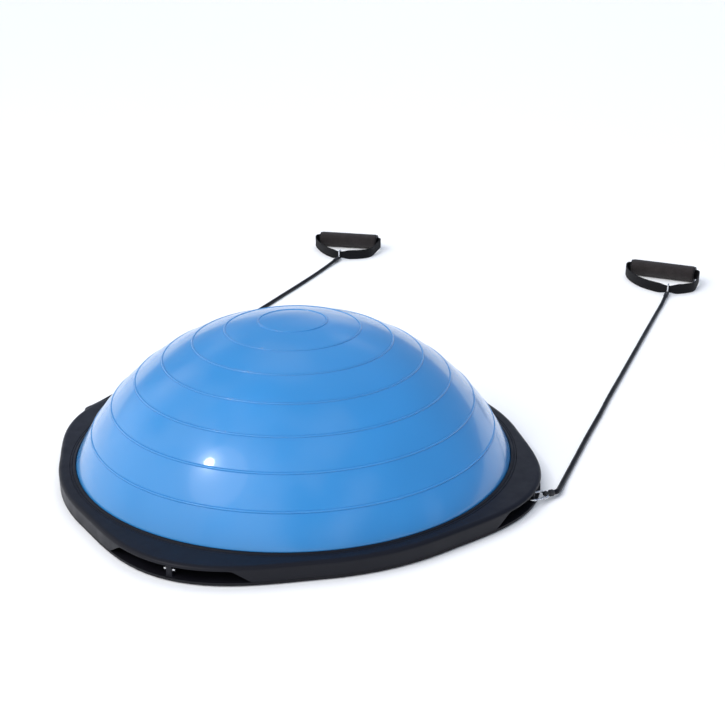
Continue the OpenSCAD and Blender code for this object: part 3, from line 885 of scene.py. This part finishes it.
ROUTES: dict[Side, list[Point]] = {
    Side.RIGHT: [
        (0.351, 0.022, 0.0075), (0.3531, 0.0244, 0.00745), (0.3546, 0.0285, 0.007), (0.355, 0.0345, 0.0062),
        (0.3548, 0.044, 0.0051), (0.3544, 0.058, 0.0042), (0.354, 0.079, 0.0035), (0.354, 0.100, 0.0033),
        (0.354, 0.150, 0.0033), (0.354, 0.220, 0.0033), (0.355, 0.300, 0.0033), (0.355, 0.380, 0.0033),
        (0.356, 0.460, 0.0033), (0.357, 0.550, 0.0033), (0.358, 0.640, 0.0033),
        (0.359, 0.730, 0.0033), (0.360, 0.810, 0.0033),
        (0.361, 0.870, 0.0036), (0.361, 0.895, 0.0046), (0.361, 0.918, 0.0055)],
    Side.LEFT: [
        (-0.351, 0.022, 0.0075), (-0.3531, 0.0244, 0.00745), (-0.3546, 0.0285, 0.007),
        (-0.355, 0.0345, 0.0062),
        (-0.3548, 0.044, 0.0051), (-0.3544, 0.058, 0.0042), (-0.354, 0.079, 0.0035), (-0.353, 0.100, 0.0033),
        (-0.351, 0.150, 0.0033), (-0.348, 0.220, 0.0033), (-0.344, 0.300, 0.0033),
        (-0.341, 0.380, 0.0033), (-0.338, 0.460, 0.0033),
        (-0.335, 0.550, 0.0033), (-0.334, 0.640, 0.0033), (-0.333, 0.730, 0.0033), (-0.333, 0.800, 0.0033),
        (-0.334, 0.860, 0.0036), (-0.334, 0.885, 0.0046), (-0.334, 0.908, 0.0055)],
}


@dataclass
class Band(Sided):
    """One elastic band: its snap hook, sleeves, tube and the ring at its handle end."""

    tube_d: float = 6.5 * MM
    hook_wire: float = 3 * MM
    ring_wire: float = 2.5 * MM
    nose_r: float = 9 * MM
    eye_u: float = 20 * MM
    corner_r: float = 6 * MM
    gate_u: float = 11.5 * MM
    gate_tip_u: float = 1.6 * MM
    gate_r: float = 1.2 * MM
    sleeve_r: float = 4.5 * MM
    far_sleeve_r: float = 4.2 * MM
    far_sleeve_len: float = 22 * MM
    ring_eye: float = 26 * MM
    route: list[Point] = field(init=False)
    place: Matrix = field(init=False)

    def __post_init__(self) -> None:
        """Works out where the hook's own frame is: u to the tube, v across it."""
        self.route = ROUTES[self.side]
        low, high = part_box("anchor_post_1")
        post = (low.x + high.x) / 2
        hook_low, hook_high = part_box(f"snap_hook_{self.side.tag}")
        start = self.route[0]
        yaw = math.atan2(start[1], abs(start[0]) - post)
        mirror = Matrix.Diagonal((self.side.value, 1, 1, 1))
        middle = (hook_low.z + hook_high.z) / 2
        self.place = mirror @ Matrix.Translation((post, 0, middle)) @ Matrix.Rotation(yaw, 4, "Z")
        self.reach = math.hypot(start[1], abs(start[0]) - post)

    def hook(self) -> bpy.types.Object:
        """Builds the hook from one bent wire, flattened where the gate is pinned to it."""
        r, n, c = self.hook_wire / 2, self.nose_r, self.corner_r
        path = [(0.9 * MM, -n, 0), (0.4 * MM, -n, 0)]
        path += [(n * math.cos(a), n * math.sin(a), 0) for a in np.linspace(1.5 * math.pi, 0.5 * math.pi, 41)]
        for a0, y in ((math.pi / 2, n - c), (0.0, c - n)):
            path += [(self.eye_u - c + c * math.cos(a0 - a), y + c * math.sin(a0 - a), 0)
                     for a in np.linspace(0, math.pi / 2, 13)]
        tongue = [0.0, 0.25, 0.5, 0.75, 1.0]
        path += [(self.gate_u + 3.2 * MM - 1.6 * MM * t, -n, 0) for t in tongue]
        path += [(self.gate_u + r * math.cos(a), -n, 0) for a in np.linspace(math.pi / 2, math.pi, 6)[1:-1]]
        line = np.array(path)
        outlines = np.repeat(disc(r, 24)[None], len(line), axis=0)
        outlines[0] *= 0.55
        flat = len(line) - 4
        for k, t in enumerate(tongue):
            outlines[flat - 5 + k, :, 1] *= 1 - 0.6 * t * t * (3 - 2 * t)
        for k, a in enumerate(np.linspace(math.pi / 2, math.pi, 6)[1:-1]):
            outlines[flat + k, :, 1] *= 0.4
            outlines[flat + k, :, 0] *= math.sin(a)
        shell = Shell().add(sweep(line, outlines), self.place)
        return self.fit(shell, "hook_wire", "bright_steel", "hook", "snap_hook", 50)

    def gate(self) -> list[bpy.types.Object]:
        """Builds the gate, its pin and the coil spring on the pin."""
        n, r = self.nose_r, self.hook_wire / 2
        start, end = self.gate_tip_u, self.gate_u - 2.2 * MM
        g = self.gate_r
        bar = rounded([(0, 0, 0), (g, 0, 0.5 * MM), (g, end - start, 0.2 * MM), (0, end - start, 0)])
        shell = Shell().add(lathe(bar, 24), self.place @ aimed((start, -n, 0), (1, 0, 0)))
        ear_t, ear_gap = 0.8 * MM, 0.7 * MM
        turn = np.linspace(-math.pi / 2, math.pi / 2, 13)
        ear_foot = [(-3.4 * MM, 1 * MM), (-3.4 * MM, -1 * MM)]
        ear = np.array([(r * math.cos(a), r * math.sin(a)) for a in turn] + ear_foot)
        for z in (ear_gap, -ear_gap - ear_t):
            heights = np.array([(self.gate_u, -n, z), (self.gate_u, -n, z + 0.12 * MM),
                                (self.gate_u, -n, z + ear_t - 0.12 * MM), (self.gate_u, -n, z + ear_t)])
            rings = np.array([ear * 0.93, ear, ear, ear * 0.93])
            shell.add(sweep(heights, rings[:, :, ::-1] * (-1, 1), (1, 0, 0)), self.place)
        web = block(1 * MM, 1.3 * MM, 0.3 * MM, 3)
        across = np.array([(self.gate_u - 3.5 * MM, -n, 0), (self.gate_u - 2.1 * MM, -n, 0)])
        shell.add(sweep(across, web), self.place)
        gate = self.fit(shell, "gate_bar", "bright_steel", "gate", "hook_gate", 40)
        low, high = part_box(f"gate_pin_{self.side.tag}")
        pin_r, pin_len = (high.x - low.x) / 2, high.z - low.z
        pin_profile = rounded([(0, 0, 0), (pin_r, 0, 0.2 * MM), (pin_r, pin_len, 0.2 * MM), (0, pin_len, 0)])
        base = Matrix.Translation((0, 0, low.z - self.place.translation.z))
        stand = self.place @ Matrix.Translation((self.gate_u, -n, 0)) @ base
        shell = Shell().add(lathe(pin_profile, 24), stand)
        pin = self.fit(shell, "pivot_pin", "bright_steel", "hook", "gate_pin")
        wire, coil_r, turns = 0.36 * MM, 1.05 * MM, 1.9
        spring_z = r + 0.05 * MM + wire / 2
        helix = [(self.gate_u + coil_r * math.cos(a), -n + coil_r * math.sin(a),
                  spring_z + wire * 1.1 * a / TAU) for a in np.linspace(0, TAU * turns, 56)]
        leg = [(self.gate_u + coil_r + 4.6 * MM - 0.6 * MM * k, -n, spring_z) for k in range(8)]
        line = np.array(leg + helix)
        shell = Shell().add(sweep(line, disc(wire / 2, 10)), self.place)
        spring = self.fit(shell, "coil_spring", "bright_steel", "hook", "gate_spring", 60)
        return [gate, pin, spring]

    def hook_sleeve(self) -> bpy.types.Object:
        """Builds the sleeve that holds the tube to the hook's end bar."""
        r, length = self.sleeve_r, self.reach - self.eye_u - 4.5 * MM
        tube_r = self.tube_d / 2
        body = rounded([
            (0, 0, 0), (2.6 * MM, 0, 0.5 * MM), (r, 1.2 * MM, 0.6 * MM), (r, 2.6 * MM, 0.15 * MM),
            (r - 0.45 * MM, 2.8 * MM, 0.1 * MM), (r - 0.45 * MM, 3.6 * MM, 0.1 * MM),
            (r, 3.8 * MM, 0.15 * MM),
            (r, length - 1.4 * MM, 0.6 * MM), (r - 0.7 * MM, length, 0.3 * MM),
            (tube_r, length, 0.1 * MM), (tube_r, length - 2 * MM, 0), (0, length - 2 * MM, 0)], 4)
        shell = Shell().add(lathe(body, 40), self.place @ aimed((self.eye_u + 4.5 * MM, 0, 0), (1, 0, 0)))
        hole, lug, half = self.hook_wire / 2 + 0.05 * MM, 3.6 * MM, 2.7 * MM
        eye = rounded([(hole, -half, 0.3 * MM), (lug, -half, 0.8 * MM),
                       (lug, half, 0.8 * MM), (hole, half, 0.3 * MM)])
        shell.add(lathe(eye, 40), self.place @ aimed((self.eye_u, 0, 0), (0, 1, 0), (1, 0, 0)))
        neck = block(half, 2.2 * MM, 0.9 * MM, 4)
        line = np.array([(self.eye_u + 2.2 * MM, 0, 0), (self.eye_u + 6 * MM, 0, 0)])
        shell.add(sweep(line, neck), self.place)
        return self.fit(shell, "hook_sleeve", "sleeve_rubber", "band", "hook_ferrule", 40)

    def grip_sleeve(self) -> bpy.types.Object:
        """Builds the sleeve at the handle end, with its tongue and the eye round the ring's bar."""
        r, length, tube_r = self.far_sleeve_r, self.far_sleeve_len, self.tube_d / 2
        end = Vector(self.route[-1])
        body = rounded([
            (0, 3 * MM, 0), (tube_r, 3 * MM, 0), (tube_r, 0, 0.1 * MM), (r - 0.5 * MM, 0, 0.4 * MM),
            (r, 3 * MM, 1 * MM), (r, 12 * MM, 0.15 * MM), (r - 0.4 * MM, 12.3 * MM, 0.1 * MM),
            (r - 0.4 * MM, 13.1 * MM, 0.1 * MM), (r, 13.4 * MM, 0.15 * MM), (r, 15.4 * MM, 0.15 * MM),
            (r - 0.4 * MM, 15.7 * MM, 0.1 * MM), (r - 0.4 * MM, 16.5 * MM, 0.1 * MM),
            (r, 16.8 * MM, 0.15 * MM), (r, length - 2 * MM, 1.2 * MM), (2.4 * MM, length, 0.5 * MM),
            (0, length, 0)], 4)
        shell = Shell().add(lathe(body, 40), aimed(end, (0, 1, 0)))
        hole, lug, half = self.ring_wire / 2 + 0.05 * MM, 3 * MM, 2 * MM
        eye = rounded([(hole, -half, 0.25 * MM), (lug, -half, 0.7 * MM),
                       (lug, half, 0.7 * MM), (hole, half, 0.25 * MM)])
        shell.add(lathe(eye, 40), Matrix.Translation(end + Vector((0, self.ring_eye, 0))))
        neck = block(half, half, 0.8 * MM, 4)
        reach = (length - 1.5 * MM, self.ring_eye - 1.6 * MM)
        line = np.array([end + Vector((0, along, 0)) for along in reach])
        shell.add(sweep(line, neck))
        return self.fit(shell, "grip_sleeve", "sleeve_rubber", "band", "grip_ferrule", 40)

    def ring(self) -> bpy.types.Object:
        """Builds the upright wire ring that joins the band to the webbing."""
        wire = self.ring_wire / 2
        low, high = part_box(f"handle_ring_{self.side.tag}")
        x, corner = (low.x + high.x) / 2, 1.8 * MM
        y0, y1, z0, z1 = low.y + wire, high.y - wire, low.z + wire, high.z - wire
        outline = rounded([(y0, z0, corner), (y1, z0, corner), (y1, z1, corner), (y0, z1, corner)], 8)
        line = np.array([(x, y, z) for y, z in outline])
        shell = Shell().add(sweep(line, disc(wire, 20), (1, 0, 0), closed=True))
        return self.fit(shell, "wire_ring", "bright_steel", "ring", "handle_ring", 60)

    def build(self) -> None:
        path = smooth(self.route, 6)
        shell = Shell().add(sweep(path, disc(self.tube_d / 2, 28)))
        tube = self.fit(shell, "elastic_tube", "tube_latex", "band", "tube", 60)
        going = [self.hook(), *self.gate(), self.hook_sleeve(), self.grip_sleeve(), self.ring()]
        going.append(self.finishes.dress(f"tube_plugs_{self.side.tag}", "bright_steel"))


# ---------- handles ----------

WEBBING_LOOPS: dict[Side, list[Point]] = {
    Side.RIGHT: [
        (-66, 0, 16), (-71, -3, 16), (-73, -10, 15), (-70, -22, 12.5), (-60, -42, 10.5), (-42, -66, 10),
        (-19, -87, 10), (8, -101, 10.2), (26, -107, 10.8), (35, -108, 11), (42, -105, 10.8), (52, -97, 10.2),
        (64, -86, 10), (73, -74, 10), (77, -60, 10), (77, -40, 11.5), (76, -20, 14.5), (74, -8, 16),
        (70, -1, 16), (66, 0, 16), (40, 0, 16), (0, 0, 16), (-40, 0, 16)],
    Side.LEFT: [
        (-66, 0, 16), (-71, -2, 16), (-74, -9, 15), (-69, -25, 12.5), (-55, -48, 10.5), (-37, -72, 10),
        (-18, -91, 10.2), (-3, -101, 10.8), (6, -103, 11), (15, -101, 10.8), (31, -95, 10.2), (48, -87, 10),
        (60, -77, 10), (66, -64, 10), (69, -45, 11), (72, -24, 14), (74, -9, 16), (70, -1, 16),
        (66, 0, 16), (40, 0, 16), (0, 0, 16), (-40, 0, 16)],
}
YAW = {Side.RIGHT: math.radians(-4.5), Side.LEFT: math.radians(8.6)}
APEX = {Side.RIGHT: (35.0, -108.0), Side.LEFT: (6.0, -103.0)}


@dataclass
class Handle(Sided):
    """One handle: a webbing loop through a core tube, with end bushes and a foam grip."""

    web_w: float = 20 * MM
    web_t: float = 1.8 * MM
    pinched_w: float = 14 * MM
    pinch_reach: float = 22 * MM
    grip_len: float = 126 * MM
    foam_t: float = 4 * MM
    core_t: float = 1 * MM
    place: Matrix = field(init=False)

    def __post_init__(self) -> None:
        """Works out where the grip's own frame is: x along the grip, y away from the dome."""
        low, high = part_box(f"grip_foam_{self.side.tag}")
        middle = (low + high) / 2
        self.radius = (high.z - low.z) / 2
        self.place = Matrix.Translation(middle) @ Matrix.Rotation(YAW[self.side], 4, "Z")

    def strap(self) -> bpy.types.Object:
        """Builds the webbing as a thick ribbon with its weave raised on both faces."""
        drop = self.place.translation.z
        corners = [(x * MM, y * MM, z * MM - drop) for x, y, z in WEBBING_LOOPS[self.side]]
        loop = smooth(corners, 12, closed=True)
        path = even(loop, 0.5 * MM, closed=True)
        apex = np.array(APEX[self.side]) * MM
        near = np.clip(1 - np.linalg.norm(path[:, :2] - apex, axis=1) / self.pinch_reach, 0, 1)
        width = self.web_w - (self.web_w - self.pinched_w) * near * near * (3 - 2 * near)
        columns, yarn, pick, relief = 29, 1.7 * MM, 2 * MM, 0.09 * MM
        edge_from, edge_w = 0.93, 0.07
        half_t = self.web_t / 2 - relief
        across = np.linspace(-1, 1, columns)
        station = np.arange(len(path)) * 0.5 * MM
        face = []
        for sign in (1, -1):
            order = across if sign > 0 else across[::-1]
            for a in order:
                strand = math.floor((a + 1) / 2 * self.web_w / yarn)
                ridge = abs(math.sin((a + 1) / 2 * self.web_w / yarn * math.pi))
                wave = np.sin(TAU * station / pick + strand * math.pi) * relief * ridge
                past = max(0.0, (abs(a) - edge_from) / edge_w)
                edge = half_t * math.sqrt(max(0.0, 1 - past ** 2))
                out = sign * np.maximum(edge + wave * (abs(a) < 0.95), 0.15 * MM)
                face.append(np.stack([out, a * width / 2], axis=1))
        outlines = np.stack(face, axis=1)
        shell = Shell().add(sweep(path, outlines, closed=True), self.place)
        return self.fit(shell, "webbing_loop", "webbing", "handle", "strap", 60)

    def foam(self) -> bpy.types.Object:
        """Builds the foam sleeve, with rounded ends and a slightly uneven skin."""
        r, half, end_r = self.radius, self.grip_len / 2, 3.2 * MM
        bore = r - self.foam_t
        inner = [(bore, half), (bore, -half)]
        arc = [(r - end_r + end_r * math.sin(a), -half + end_r - end_r * math.cos(a))
               for a in np.linspace(0, math.pi / 2, 9)]
        straight = [(r, x) for x in np.linspace(-half + end_r + 1 * MM, half - end_r - 1 * MM, 90)]
        profile = inner[::-1][:1] + arc + straight + [(a, -b) for a, b in arc[::-1]] + inner[:1]
        points, faces = lathe(profile, 120)
        for i, p in enumerate(points):
            if math.hypot(p[0], p[1]) > bore + 1 * MM:
                lump = noise.noise(Vector(p) * 90) + 0.5 * noise.noise(Vector(p) * 260)
                squeeze = 1 + (lump * 0.12 * MM - 0.1 * MM) / r
                points[i, :2] *= squeeze
        shell = Shell().add((points, faces), self.place @ aimed((0, 0, 0), (1, 0, 0)))
        foam = self.fit(shell, "foam_grip", "grip_foam", "grip", "grip_foam", 60)
        return foam

    def core(self) -> bpy.types.Object:
        """Builds the plastic tube inside the foam."""
        outer, half = self.radius - self.foam_t, self.grip_len / 2
        profile = [(outer - self.core_t, -half), (outer, -half), (outer, half), (outer - self.core_t, half)]
        shell = Shell().add(lathe(profile, 64), self.place @ aimed((0, 0, 0), (1, 0, 0)))
        return self.fit(shell, "core_tube", "grip_plastic", "grip", "grip_core")

    def bushes(self) -> bpy.types.Object:
        """Builds the two flanged bushes that line the ends of the core."""
        outer, half = self.radius - self.foam_t, self.grip_len / 2
        bore, flange, deep = outer - self.core_t - 0.6 * MM, 2 * MM, 12 * MM
        profile = rounded([
            (bore, -flange, 0.6 * MM), (outer + 3 * MM, -flange, 0.8 * MM), (outer + 3 * MM, 0, 0.2 * MM),
            (outer - self.core_t, 0, 0), (outer - self.core_t, deep - flange, 0),
            (bore, deep - flange, 0)], 5)
        shell = Shell()
        for sign in (1, -1):
            shell.add(lathe(profile, 72), self.place @ aimed((-sign * half, 0, 0), (sign, 0, 0)))
        return self.fit(shell, "end_bushes", "grip_plastic", "grip", "grip_bushes")

    def build(self) -> None:
        """Builds the handle."""
        self.strap()
        self.foam()
        self.core()
        self.bushes()


# ---------- studio ----------


@dataclass
class Studio:
    """Pale floor, soft lights and the camera."""

    eye: Point = (0.6178, -1.2861, 0.6862)
    heading: float = math.radians(22)
    dip: float = math.radians(20.92)
    lens: float = 57.37
    dome_spot: Point = (0.002, -0.236, 0.102)
    spot_way: Point = (-0.442, -0.487, 0.753)

    def camera(self) -> None:
        """Places the camera."""
        data = bpy.data.cameras.new("camera")
        data.sensor_width = 36
        data.lens = self.lens
        data.clip_end = 200
        camera = bpy.data.objects.new("camera", data)
        camera.location = self.eye
        camera.rotation_euler = (math.pi / 2 - self.dip, 0, self.heading)
        bpy.context.scene.collection.objects.link(camera)
        bpy.context.scene.camera = camera

    def floor(self) -> None:
        """Lays the floor."""
        reach = 60.0
        corners = [(-reach, -reach, 0), (reach, -reach, 0), (reach, reach, 0), (-reach, reach, 0)]
        mesh = bpy.data.meshes.new("floor")
        mesh.from_pydata(corners, [], [(0, 1, 2, 3)])
        floor = bpy.data.objects.new("floor", mesh)
        bpy.context.scene.collection.objects.link(floor)
        g = Graph("floor_paint", Roughness=0.6, Specular_IOR_Level=0.2, Base_Color=(0.94, 0.94, 0.94, 1))
        mesh.materials.append(g.material)

    def sky(self) -> None:
        """Surrounds the set with soft light that has faint clouds in it."""
        world = bpy.data.worlds.new("studio")
        bpy.context.scene.world = world
        world.use_nodes = True
        tree = world.node_tree
        place = tree.nodes.new("ShaderNodeTexCoord")
        axes = tree.nodes.new("ShaderNodeSeparateXYZ")
        clouds = tree.nodes.new("ShaderNodeTexNoise")
        clouds.inputs["Scale"].default_value = 2.6
        clouds.inputs["Detail"].default_value = 1.0
        height = tree.nodes.new("ShaderNodeMapRange")
        for key, value in {"From Min": 0.09, "From Max": 0.13, "To Min": 0.6, "To Max": 0.0}.items():
            height.inputs[key].default_value = value
        side = tree.nodes.new("ShaderNodeVectorMath")
        side.operation = "DOT_PRODUCT"
        side.inputs[1].default_value = (-0.14, -0.14, 0.0)
        base = tree.nodes.new("ShaderNodeMath")
        total = tree.nodes.new("ShaderNodeMath")
        ramp = tree.nodes.new("ShaderNodeValToRGB")
        first, last = ramp.color_ramp.elements
        first.position, first.color = 0.42, (0.25, 0.32, 0.46, 1)
        last.position, last.color = 0.70, (1.0, 1.0, 1.0, 1)
        backdrop = tree.nodes["Background"]
        backdrop.inputs["Strength"].default_value = 1.0
        links = [(place.outputs["Generated"], clouds.inputs["Vector"]),
                 (place.outputs["Generated"], axes.inputs[0]),
                 (axes.outputs["Z"], height.inputs["Value"]), (place.outputs["Generated"], side.inputs[0]),
                 (height.outputs[0], base.inputs[0]), (side.outputs["Value"], base.inputs[1]),
                 (base.outputs[0], total.inputs[0]), (clouds.outputs[0], total.inputs[1]),
                 (total.outputs[0], ramp.inputs["Fac"]), (ramp.outputs[0], backdrop.inputs["Color"])]
        for source, target in links:
            tree.links.new(source, target)

    def lamp(self, name: str, place: Point, aim: Point, size: float, power: float,
             colour: tuple[float, float, float] = (1, 1, 1)) -> None:
        """Hangs a soft light.

        Args:
            name: Its name.
            place: Where it is.
            aim: What it faces.
            size: Its width.
            power: Its power in watts.
            colour: Its colour.
        """
        data = bpy.data.lights.new(name, "AREA")
        data.shape = "DISK"
        data.size = size
        data.energy = power
        data.color = colour
        light = bpy.data.objects.new(name, data)
        light.location = place
        light.rotation_euler = (Vector(aim) - Vector(place)).to_track_quat("-Z", "Y").to_euler()
        bpy.context.scene.collection.objects.link(light)

    def sun(self, name: str, way: Point, strength: float, width: float) -> None:
        """Adds a broad light from far away that no glossy surface mirrors.

        Args:
            name: Its name.
            way: Direction that it comes from.
            strength: Its strength in watts to the square metre.
            width: How wide it looks, in radians.
        """
        data = bpy.data.lights.new(name, "SUN")
        data.energy = strength
        data.angle = width
        light = bpy.data.objects.new(name, data)
        light.rotation_euler = (-Vector(way)).to_track_quat("-Z", "Y").to_euler()
        light.visible_glossy = False
        bpy.context.scene.collection.objects.link(light)

    def build(self) -> None:
        """Sets the stage."""
        self.camera()
        self.floor()
        self.sky()
        spot = Vector(self.dome_spot) + Vector(self.spot_way) * 4
        self.lamp("spark", spot, self.dome_spot, 0.32, 17)
        self.lamp("glow", spot + Vector((0.4, -0.4, -0.1)), self.dome_spot, 2.0, 13, (0.95, 0.92, 1.0))
        self.sun("key", (-1.0, -1.8, 2.5), 1.5, math.radians(60))
        self.sun("back", (-0.2, 1.5, 2.1), 0.75, math.radians(40))
        bpy.context.scene.view_settings.view_transform = "Standard"


def main() -> None:
    """Builds the trainer and reports each piece."""
    logging.basicConfig(level=logging.INFO, format="%(name)s %(message)s", stream=sys.stdout)
    Studio().build()
    finishes = Finishes()
    for side in Side:
        Band(side, finishes).build()
    for side in Side:
        Handle(side, finishes).build()
    Platform(finishes).build()
    Dome(finishes).build()


if __name__ == "__main__":
    main()
